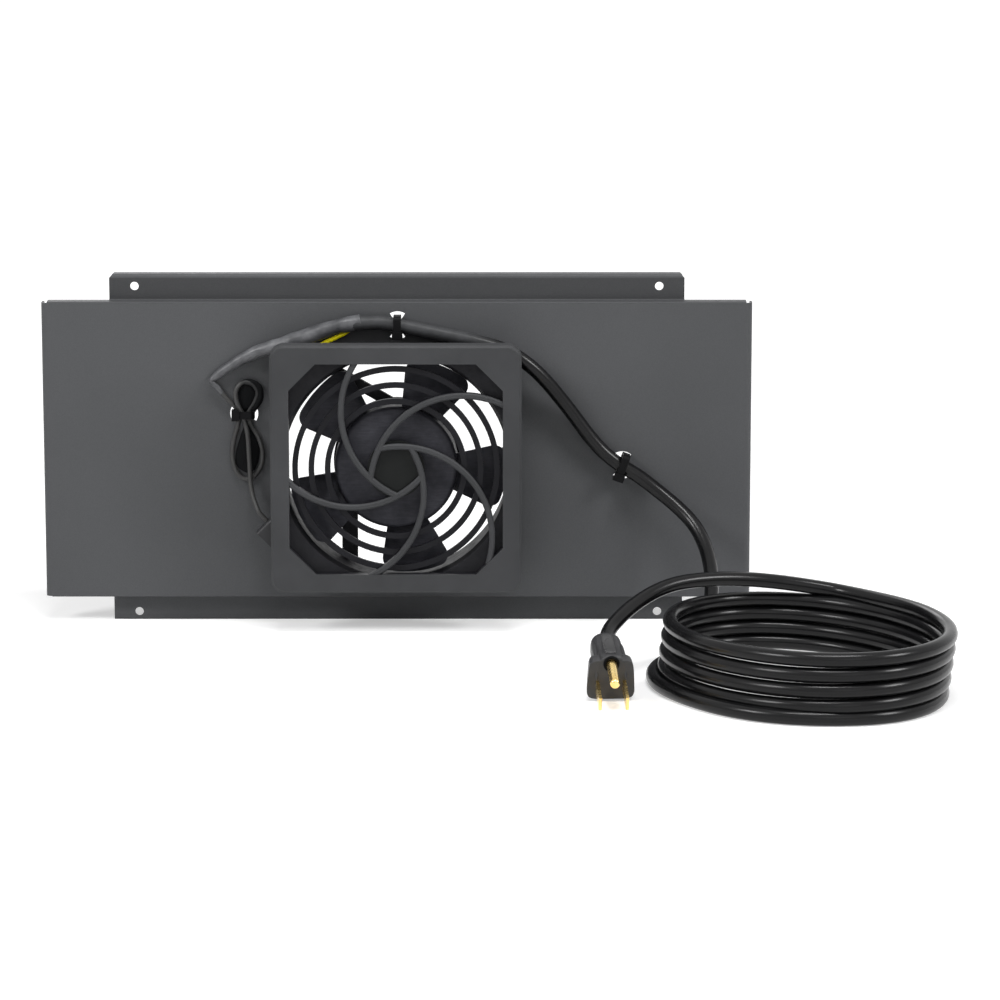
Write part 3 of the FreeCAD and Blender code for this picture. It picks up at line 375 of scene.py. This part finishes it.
def lead_skin():
    """Grey insulation, with painted shade where the upper loop turns in towards the plate."""
    s = Shade("lead_skin", (0.045, 0.045, 0.046), 0.4, specular=0.26)
    axes = s.axes()
    # painted shade: the upper loop is darker where it turns in
    loop_shade = s.math("MULTIPLY", s.spread(axes["X"], 0.0, 1.0, *LOOP_SHADE_X_FADE),
                       s.spread(axes["Z"], 0.0, 1.0, *LOOP_SHADE_Z_FADE))
    light = s.tones(s.noise(35.0, 3.0), (0.041, 0.041, 0.041), (0.053, 0.052, 0.051))
    dark = s.tones(s.noise(60.0, 3.0), (0.010, 0.0102, 0.0108), (0.016, 0.0162, 0.017))
    s.color(s.mixed(loop_shade, light, dark))
    s.roughness(s.spread(s.noise(240.0), 0.36, 0.5))
    s.bump(s.noise(700.0, 2.0), 0.00003, 0.6)
    return s.material


black_moulding = moulded("black_moulding", (0.030, 0.030, 0.032), 0.42, specular=0.25)
tie_nylon = moulded("tie_nylon", (0.005, 0.005, 0.0055), 0.46, 900.0, specular=0.07)
plug_rubber = moulded("plug_rubber", (0.037, 0.037, 0.039), 0.36, 1800.0, specular=0.34)
# black for the lead's second strand, and the colour of the dark pieces of painted shade
lead_black_and_shade = moulded("lead_black_and_shade", (0.0055, 0.0058, 0.0063), 0.6, 700.0, specular=0.04)
bright_steel = steel("bright_steel", (0.62, 0.62, 0.64), 0.12, 0.25, (1, 8, 1))
zinc = steel("zinc_plate", (0.60, 0.61, 0.60), 0.25, 0.42)
cup_steel = steel("cup_steel", (0.40, 0.40, 0.42), 0.28, 0.45, (1, 10, 1))
cord_skin = jacket()
brass_skin = brass()
sleeve_grey = sleeve_skin()
plug_sheen = moulded("plug_sheen", (0.060, 0.060, 0.061), 0.32, 1800.0, specular=0.5)

FINISHES = {
    "tray_panel": powder_coat(),
    "fan_housing": cast_black(),
    "motor_bearings": bronze(),
    "stator_core": laminations(),
    "stator_coils": winding(),
    "rotor_cup": cup_steel,
    "rotor_shaft": bright_steel,
    "shaft_clip": bright_steel,
    "impeller": blade_skin(),
    "fan_guard": guard_skin(),
    "fan_screws": zinc,
    "fan_nuts": zinc,
    "lock_washers": zinc,
    "terminal_block": black_moulding,
    "fan_terminals": brass_skin,
    "lead_plug": black_moulding,
    "fan_lead": lead_skin(),
    "splice_sleeve": sleeve_grey,
    "earth_lead": yellow_wire(),
    "earth_terminal": zinc,
    "tie_top": tie_nylon,
    "tie_left": tie_nylon,
    "tie_right": tie_nylon,
    "plug_body": plug_rubber,
    "plug_blades": brass_skin,
    "plug_ground_pin": brass_skin,
}
for node_name, node_finish in FINISHES.items():
    finish_of(node_name, node_finish)


# ---------------------------------------------------------------- cord

# Routes are in millimetres.
CORD_D = 0.0072
FROM_SLEEVE = [
    (-24.0, 3.3, 154.0), (-12.0, 4.1, 154.9), (-4.0, 4.5, 154.2), (9.5, 4.6, 151.4),
    (25.0, 4.0, 148.4), (41.5, 0.0, 145.6),
    (57.0, -3.8, 141.6), (71.5, -2.3, 130.6), (86.0, 2.2, 112.2), (100.2, 4.2, 92.3),
    (111.0, 4.5, 82.7), (121.0, 4.0, 77.3), (130.7, 0.8, 70.2), (140.4, -4.6, 63.2),
    (149.8, -12.0, 54.9), (155.3, -22.4, 45.1), (157.4, -35.4, 35.0), (157.0, -49.4, 23.6),
    (153.2, -63.4, 12.8), (145.8, -75.9, 5.6), (137.0, -88.9, 3.8)]
LOOSE_TURN = [
    (129.2, -103.4, 3.6), (125.3, -119.4, 3.6), (125.5, -136.4, 3.6), (128.8, -151.2, 3.6),
    (137.2, -170.2, 3.6), (152.2, -191.6, 3.6), (169.0, -205.2, 3.6), (186.5, -212.6, 3.6)]
TO_PLUG = [
    (222.0, -69.9, 32.0), (205.5, -66.4, 34.2), (189.3, -66.4, 36.6), (172.8, -69.4, 38.7),
    (156.1, -75.4, 40.1), (139.7, -83.4, 40.0), (129.0, -90.9, 38.0), (119.4, -100.4, 34.4),
    (111.0, -111.4, 30.2), (101.4, -128.0, 23.1), (102.6, -146.2, 18.1)]

COIL_CENTRE = Vector((199.1, -138.4))
COIL_A = 66.0
COIL_B = 76.7
COIL_SKEW = math.radians(12.1)
COIL_LEAN = 4.0
COIL_TURNS = 4.65
POINTS_PER_TURN = 18
LOOSE_STEPS = 5     # the part of the first turn that LOOSE_TURN makes
LIES_AT = 3.6       # the cord's centre where it lies on the floor
FIRST_RISE = 0.4
TURN_RISE = 7.12
DROP = 1.2          # how far the last turn comes down before it leaves
DROP_START = 4.4
DROP_SPAN = 0.25
SAG = 1.0           # how far the first turns sink on to the ones below
SAG_TURNS = 3
SAG_START = 0.85
SAG_SPAN = 0.5


def coil_points():
    """The coil's turns, counter-clockwise from the front, each lying on the one below."""
    points = []
    for i in range(LOOSE_STEPS, int(COIL_TURNS * POINTS_PER_TURN) + 1):
        t = i / POINTS_PER_TURN
        angle = math.pi + 2 * math.pi * t
        lean = COIL_LEAN * (COIL_TURNS - t) / COIL_TURNS
        x = COIL_CENTRE.x - lean + COIL_A * math.cos(angle)
        y = COIL_CENTRE.y + COIL_B * math.sin(angle - COIL_SKEW)
        z = max(LIES_AT, FIRST_RISE + TURN_RISE * t) - DROP * max(0.0, t - DROP_START) / DROP_SPAN
        passed, phase = divmod(t - SAG_START, 1.0)
        if 0 <= passed < SAG_TURNS and phase < SAG_SPAN:
            z -= SAG * (1 - passed / SAG_TURNS) * math.sin(math.pi * phase / SAG_SPAN)
        points.append((x, y, z))
    return points


def nurbs(name, points, diameter, material):
    """Round cord along one spline through points in millimetres."""
    curve = bpy.data.curves.new(name, "CURVE")
    curve.dimensions = "3D"
    curve.bevel_depth = diameter / 2
    curve.bevel_resolution = 6
    curve.resolution_u = 6
    curve.use_fill_caps = True
    spline = curve.splines.new("NURBS")
    spline.points.add(len(points) - 1)
    for point, place in zip(spline.points, points):
        point.co = (place[0] / 1000, place[1] / 1000, place[2] / 1000, 1)
    spline.order_u = 3
    spline.use_endpoint_u = True
    curve.materials.append(material)
    made = bpy.data.objects.new(name, curve)
    scene.collection.objects.link(made)
    return made


cord = nurbs("mains_cord", FROM_SLEEVE + LOOSE_TURN + coil_points() + TO_PLUG, CORD_D, cord_skin)
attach(cord, "panel")
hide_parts("power_cord", "cord_coil", "plug_cord")


# ---------------------------------------------------------------- moulded and shrunk pieces

def smooth_line(points, steps):
    """Catmull-Rom line through rows of numbers: place in millimetres, then anything else that varies."""
    rows = [points[0]] + points + [points[-1]]
    line = []
    for i in range(1, len(rows) - 2):
        for k in range(steps):
            t = k / steps
            line.append([0.5 * (2 * b + (c - a) * t + (2 * a - 5 * b + 4 * c - d) * t ** 2
                                + (3 * b - a - 3 * c + d) * t ** 3)
                         for a, b, c, d in zip(*rows[i - 1:i + 3])])
    line.append(list(points[-1]))
    return line


def mesh_piece(name, rings, material):
    """Closed, smooth skin over rings of points in millimetres."""
    count = len(rings[0])
    faces = []
    for i in range(len(rings) - 1):
        for k in range(count):
            n = (k + 1) % count
            faces.append((i * count + k, i * count + n, (i + 1) * count + n, (i + 1) * count + k))
    last = (len(rings) - 1) * count
    faces.append(tuple(range(count))[::-1])
    faces.append(tuple(last + k for k in range(count)))
    mesh = bpy.data.meshes.new(name)
    mesh.from_pydata([tuple(v / 1000 for v in point) for ring in rings for point in ring], [], faces)
    mesh.polygons.foreach_set("use_smooth", [len(p.vertices) == 4 for p in mesh.polygons])
    mesh.materials.append(material)
    mesh.validate()
    made = bpy.data.objects.new(name, mesh)
    scene.collection.objects.link(made)
    return made


DENT_REACH = 4    # how far out of the line the noise for its dents is read, in millimetres


def tube_rings(line, sides, dents=0.0, grain=0.12):
    """Rings round a line of (x, y, z, radius), with the surface dented by noise."""
    places = [Vector(row[:3]) for row in line]
    rings = []
    side = Vector((0, 1, 0))
    for i, place in enumerate(places):
        along = (places[min(i + 1, len(places) - 1)] - places[max(i - 1, 0)]).normalized()
        side = (side - along * side.dot(along)).normalized()
        up = along.cross(side)
        ring = []
        for k in range(sides):
            angle = 2 * math.pi * k / sides
            way = side * math.cos(angle) + up * math.sin(angle)
            out = line[i][3] + dents * noise.noise((place + way * DENT_REACH) * grain)
            ring.append(place + way * out)
        rings.append(ring)
    return rings


SLEEVE_LINE = [
    (-84.4, 6.2, 114.4, 1.15), (-88.6, 6.0, 119.2, 1.2), (-92.0, 5.9, 123.2, 1.4), (-93.2, 5.8, 124.9, 1.6),
    (-92.2, 5.8, 126.4, 1.9), (-88.0, 5.7, 129.4, 2.3), (-79.4, 5.4, 134.9, 2.8), (-67.5, 4.0, 140.6, 3.3),
    (-56.0, 1.2, 144.6, 3.8), (-47.0, 1.2, 147.4, 3.9), (-38.3, 1.9, 150.3, 3.8), (-28.5, 2.9, 153.2, 3.8),
    (-18.0, 3.8, 154.9, 3.9)]
sleeve = mesh_piece("splice_cover", tube_rings(smooth_line(SLEEVE_LINE, 14), 28, 0.7, 0.13), sleeve_grey)
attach(sleeve, "panel")
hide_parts("splice_sleeve")

UPPER_LOOP = [
    (-77.0, 7.0, 109.4, 1.3), (-80.4, 6.8, 117.0, 1.3), (-79.6, 6.6, 122.2, 1.3), (-74.6, 6.4, 124.4, 1.4),
    (-69.6, 6.4, 121.8, 1.5), (-68.8, 6.4, 115.8, 1.5), (-72.6, 6.8, 109.4, 1.3)]
UPPER_SHADE_LEAF = [
    (107.4, -76.8, 0.5), (108.6, -76.7, 1.3), (111.0, -76.5, 2.8), (114.0, -76.1, 4.2), (117.5, -75.8, 4.9),
    (120.6, -75.8, 4.6), (122.9, -75.9, 3.3), (124.0, -76.0, 1.8), (124.4, -76.0, 0.6)]
LOWER_SHADE_LEAF = [
    (77.4, -75.2, 0.6), (78.2, -75.4, 2.4), (80.0, -75.8, 4.4), (83.0, -76.0, 5.6), (87.5, -75.6, 6.0),
    (92.5, -75.0, 5.3), (97.4, -75.2, 3.6), (101.0, -75.6, 1.8), (103.4, -75.8, 0.5)]


SHADE_LEAF_BACK = 8.55    # just before the plate
SHADE_LEAF_SIDES = 28


def shade_leaf_rings(rows, front):
    """Flat dark leaf of painted shade inside a loop of the lead, from front to back, through rows of height,
    middle and half-width.
    """
    rings = []
    for z, x, wide in smooth_line(rows, 5):
        thick = (SHADE_LEAF_BACK - front) / 2 * min(1.0, 0.35 + wide / 4)
        rings.append([Vector((x + wide * math.cos(a), SHADE_LEAF_BACK - thick + thick * math.sin(a), z))
                      for a in (2 * math.pi * k / SHADE_LEAF_SIDES for k in range(SHADE_LEAF_SIDES))])
    return rings


# lead_strand is a second black strand; the two leaves are dark sheets of painted shade inside the loops
lead_pieces = [
    mesh_piece("lead_strand", tube_rings(smooth_line(UPPER_LOOP, 8), 12), lead_black_and_shade),
    mesh_piece("lead_shade_leaf_upper", shade_leaf_rings(UPPER_SHADE_LEAF, 5.6), lead_black_and_shade),
    mesh_piece("lead_shade_leaf_lower", shade_leaf_rings(LOWER_SHADE_LEAF, 6.0), lead_black_and_shade)]
for piece in lead_pieces:
    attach(piece, "panel")

GUARD_LOW, GUARD_HIGH = (p * 1000 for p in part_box("fan_guard"))
GUARD_MIDDLE = (GUARD_LOW + GUARD_HIGH) / 2
ARM_OUTER = Vector((-19.7, 0, 54.6))
ARM_INNER = Vector((-3.6, 0, -11.4))
ARM_BULGE = 14.8
ARM_SETBACK = 0.6
ARM_FRONT = GUARD_LOW.y + ARM_SETBACK
ARM_DEPTH = 4.4
ARM_BACK = ARM_DEPTH - 0.02
ARM_SECTION = (
    (-1.48, 0.71), (-0.79, 0.02), (0.79, 0.02), (1.48, 0.71), (1.48, ARM_BACK), (-1.48, ARM_BACK))
ARM_LENGTH = 76.23
ARM_COUNT = 5
ARM_OVERLAP = 0.6                 # how far a piece runs into the arm that it carries on
ARM_JOIN = 4.4                    # how far the inner ends run on
ARM_REACH = ((3, 15.8), (4, 9.6))    # which arms start early at their outer ends, and by how much
RUN_STEPS = 8


def arm_run(turn, start, end):
    """Sections of a guard arm from start to end, in millimetres along it from its outer end."""
    chord = ARM_INNER - ARM_OUTER
    across = Vector((chord.z, 0, -chord.x)).normalized()
    radius = (chord.length ** 2 / 4 + ARM_BULGE ** 2) / (2 * ARM_BULGE)
    centre = (ARM_INNER + ARM_OUTER) / 2 + across * (ARM_BULGE - radius)
    first = math.atan2(ARM_OUTER.z - centre.z, ARM_OUTER.x - centre.x)
    last = math.atan2(ARM_INNER.z - centre.z, ARM_INNER.x - centre.x)
    if last < first:
        last += 2 * math.pi
    length = (last - first) * radius
    rings = []
    for i in range(RUN_STEPS + 1):
        along = start + (end - start) * i / RUN_STEPS
        angle = first + along / length * (last - first)
        ring = []
        for out, depth in ARM_SECTION:
            reach = radius + out
            x = centre.x + reach * math.cos(angle)
            z = centre.z + reach * math.sin(angle)
            ring.append(Vector((
                GUARD_MIDDLE.x + x * math.cos(turn) - z * math.sin(turn),
                ARM_FRONT + depth,
                GUARD_MIDDLE.z + x * math.sin(turn) + z * math.cos(turn))))
        rings.append(ring)
    return rings


guard_finish = nodes["fan_guard"].data.materials[0]
arm_runs = [(f"guard_arm_join_{k + 1}", k, ARM_LENGTH - ARM_OVERLAP, ARM_LENGTH + ARM_JOIN)
            for k in range(ARM_COUNT)]
arm_runs += [(f"guard_arm_reach_{i + 1}", k, -early, ARM_OVERLAP) for i, (k, early) in enumerate(ARM_REACH)]
for name, arm, start, end in arm_runs:
    piece = mesh_piece(name, arm_run(math.radians(360 // ARM_COUNT * arm), start, end), guard_finish)
    piece.data.polygons.foreach_set("use_smooth", [False] * len(piece.data.polygons))
    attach(piece, "panel")

PLUG_FACE = Vector((104.1, -168.4, 12.0))
PLUG_YAW = math.radians(3.8)
PLUG_PITCH = math.radians(15.4)
level = Vector((math.sin(PLUG_YAW), -math.cos(PLUG_YAW), 0))
PLUG_ACROSS = Vector((math.cos(PLUG_YAW), math.sin(PLUG_YAW), 0))
PLUG_PINS = level * math.cos(PLUG_PITCH) - Vector((0, 0, math.sin(PLUG_PITCH)))
PLUG_UP = level * math.sin(PLUG_PITCH) + Vector((0, 0, math.cos(PLUG_PITCH)))


def plug_place(across, up, along):
    """A place counted from the middle of the plug's face, in the plug's own directions."""
    return PLUG_FACE + PLUG_ACROSS * across + PLUG_UP * up + PLUG_PINS * along


PLUG_SIDES = 56


def plug_ring(along, wide_top, wide_low, top, low, square):
    """Rounded section of the moulding: half-widths at its top and foot, reach up and down, sharpness."""
    ring = []
    for k in range(PLUG_SIDES):
        angle = 2 * math.pi * k / PLUG_SIDES
        c, n = math.cos(angle), math.sin(angle)
        x = math.copysign(abs(c) ** (2 / square), c)
        y = math.copysign(abs(n) ** (2 / square), n)
        wide = wide_low + (wide_top - wide_low) * (y + 1) / 2
        ring.append(PLUG_FACE + PLUG_ACROSS * x * wide + PLUG_UP * y * (top if y > 0 else low)
                    + PLUG_PINS * along)
    return ring


PLUG_CORE = [
    (-34.5, 4.2, 4.2, 4.4, 4.2, 2.0), (-33.8, 6.0, 6.0, 5.6, 5.2, 2.2), (-31.5, 7.1, 7.2, 7.2, 6.6, 2.5),
    (-27.5, 7.4, 7.5, 7.9, 7.2, 2.7), (-20.0, 7.4, 7.7, 8.3, 7.6, 2.7), (-12.0, 7.5, 8.2, 9.2, 8.6, 2.7),
    (-6.0, 7.4, 8.8, 10.6, 10.0, 2.7), (-2.0, 7.0, 9.0, 11.4, 10.9, 2.7), (-0.4, 6.6, 9.0, 11.5, 10.9, 2.7),
    (0.1, 6.2, 8.6, 11.1, 10.5, 2.7)]
PLUG_COLLAR = [
    (-12.0, 7.2, 7.4, 6.0, 8.0, 5.0), (-9.5, 9.2, 9.6, 7.4, 9.6, 5.5), (-7.5, 10.0, 10.8, 8.4, 10.6, 6.0),
    (-5.0, 10.2, 11.2, 9.0, 11.1, 6.0), (-0.4, 10.3, 11.6, 9.2, 11.3, 6.0), (0.0, 10.0, 11.3, 8.9, 11.0, 6.0)]
RIB = [
    (6.1, 5.3, -25.0, 0.3), (6.4, 5.9, -19.0, 0.9), (6.6, 6.6, -10.0, 1.0), (6.8, 6.0, -3.0, 1.0),
    (6.7, 1.4, -0.1, 0.8), (6.5, -1.4, 0.1, 0.3)]
PLUG_LAND = [
    (-30.5, 1.2, 7.2), (-29.0, 2.2, 7.9), (-26.0, 2.6, 8.5), (-19.0, 2.6, 8.95), (-12.0, 2.7, 9.85),
    (-7.0, 2.6, 11.0), (-4.0, 2.2, 11.4)]
LAND_SECTION = [
    (-1.0, -1.4), (-1.0, -0.3), (-0.9, -0.06), (-0.7, 0.0),
    (0.7, 0.0), (0.9, -0.06), (1.0, -0.3), (1.0, -1.4)]
PIN_RISE = 7.5
RECESS_ACROSS = 3.1
RECESS_UP = 3.4
RECESS_R = 0.75
RECESS_STEPS = 16

moulding_pieces = []
for name, rows in (("plug_core", PLUG_CORE), ("plug_collar", PLUG_COLLAR)):
    moulding_pieces.append(mesh_piece(name, [plug_ring(*row) for row in smooth_line(rows, 5)], plug_rubber))
for name, hand in (("plug_rib_left", -1), ("plug_rib_right", 1)):
    rib = [(*plug_place(hand * x, up, along), r) for x, up, along, r in RIB]
    moulding_pieces.append(mesh_piece(name, tube_rings(smooth_line(rib, 6), 14), plug_rubber))
land_rings = [[plug_place(x * wide, up + y, along) for x, y in LAND_SECTION]
              for along, wide, up in smooth_line(PLUG_LAND, 4)]
moulding_pieces.append(mesh_piece("plug_land", land_rings, plug_sheen))
# painted shade: a dark ring round the ground pin's root stands for the shade in its recess
recess_rim = [
    (*plug_place(RECESS_ACROSS * math.cos(a), PIN_RISE + RECESS_UP * math.sin(a), 0.1), RECESS_R)
    for a in (math.pi * 2 * k / RECESS_STEPS for k in range(RECESS_STEPS + 1))]
moulding_pieces.append(mesh_piece("plug_pin_recess", tube_rings(smooth_line(recess_rim, 3), 12), lead_black_and_shade))
for moulding in moulding_pieces:
    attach(moulding, "panel")
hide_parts("plug_body")


# ---------------------------------------------------------------- stage and light

FLOOR_REACH = 12
FLOOR_COLOR = (0.8, 0.8, 0.8, 1)
FLOOR_GLOW_NEAR = 0.42    # strength up to GLOW_START metres from the origin
FLOOR_GLOW_FAR = 0.9      # strength from GLOW_END metres on
GLOW_START = 0.5
GLOW_END = 1.6
AMBIENT = 0.22            # what the world gives as light; rays that show it see 1


def combined(tree, operation, a, b):
    made = tree.nodes.new("ShaderNodeMath")
    made.operation = operation
    tree.links.new(a, made.inputs[0])
    tree.links.new(b, made.inputs[1])
    return made.outputs["Value"]


def rays_to_camera(tree):
    """1 for rays that the camera sees straight, in a reflection or through glass."""
    path = tree.nodes.new("ShaderNodeLightPath")
    seen = path.outputs["Is Camera Ray"]
    for output in ("Is Glossy Ray", "Is Transmission Ray"):
        seen = combined(tree, "MAXIMUM", seen, path.outputs[output])
    return seen


def floor_surface():
    """Plain pale floor that keeps the object's shadow and looks whiter to the camera away from the object."""
    material = bpy.data.materials.new("floor_white")
    material.use_nodes = True
    tree = material.node_tree
    tree.nodes.clear()
    link = tree.links.new
    plain = tree.nodes.new("ShaderNodeBsdfDiffuse")
    plain.inputs["Color"].default_value = FLOOR_COLOR
    place = tree.nodes.new("ShaderNodeTexCoord")
    distance = tree.nodes.new("ShaderNodeVectorMath")
    distance.operation = "LENGTH"
    link(place.outputs["Object"], distance.inputs[0])
    away = tree.nodes.new("ShaderNodeMapRange")
    away.inputs["From Min"].default_value = GLOW_START
    away.inputs["From Max"].default_value = GLOW_END
    away.inputs["To Min"].default_value = FLOOR_GLOW_NEAR
    away.inputs["To Max"].default_value = FLOOR_GLOW_FAR
    link(distance.outputs["Value"], away.inputs["Value"])
    glow = tree.nodes.new("ShaderNodeEmission")
    strength = combined(tree, "MULTIPLY", away.outputs["Result"], rays_to_camera(tree))
    link(strength, glow.inputs["Strength"])
    add = tree.nodes.new("ShaderNodeAddShader")
    link(plain.outputs[0], add.inputs[0])
    link(glow.outputs[0], add.inputs[1])
    out = tree.nodes.new("ShaderNodeOutputMaterial")
    link(add.outputs[0], out.inputs["Surface"])
    return material


floor_mesh = bpy.data.meshes.new("floor")
corners = [(x * FLOOR_REACH, y * FLOOR_REACH, 0) for x, y in ((-1, -1), (1, -1), (1, 1), (-1, 1))]
floor_mesh.from_pydata(corners, [], [(0, 1, 2, 3)])
floor_mesh.materials.append(floor_surface())
floor = bpy.data.objects.new("floor", floor_mesh)
scene.collection.objects.link(floor)

world = bpy.data.worlds.new("studio")
scene.world = world
world.use_nodes = True
tree = world.node_tree
background = tree.nodes["Background"]
ambient = tree.nodes.new("ShaderNodeMapRange")
ambient.inputs["To Min"].default_value = AMBIENT
ambient.inputs["To Max"].default_value = 1.0
tree.links.new(rays_to_camera(tree), ambient.inputs["Value"])
tree.links.new(ambient.outputs["Result"], background.inputs["Strength"])
background.inputs["Color"].default_value = (1, 1, 1, 1)


def area_light(name, place, aim, size, power, size_y=None):
    """Soft lamp at a place, turned to its aim; metres and watts."""
    data = bpy.data.lights.new(name, "AREA")
    data.energy = power
    data.size = size
    if size_y:
        data.shape = "RECTANGLE"
        data.size_y = size_y
    made = bpy.data.objects.new(name, data)
    scene.collection.objects.link(made)
    made.location = place
    made.rotation_euler = (Vector(aim) - Vector(place)).to_track_quat("-Z", "Y").to_euler()


area_light("top", (0.1, -0.55, 1.45), (0.05, -0.05, 0.08), 0.7, 12.0, 0.14)
area_light("left", (-1.3, -0.9, 1.15), (0.0, 0.0, 0.08), 0.5, 16.0)
area_light("right", (1.4, -0.8, 1.1), (0.05, 0.0, 0.08), 0.5, 16.5)
area_light("front", (0.4, -2.2, 1.0), (0.05, 0.0, 0.08), 1.0, 2.5)
area_light("back", (-0.5, 1.9, 1.2), (0.0, 0.0, 0.08), 0.8, 6.0)
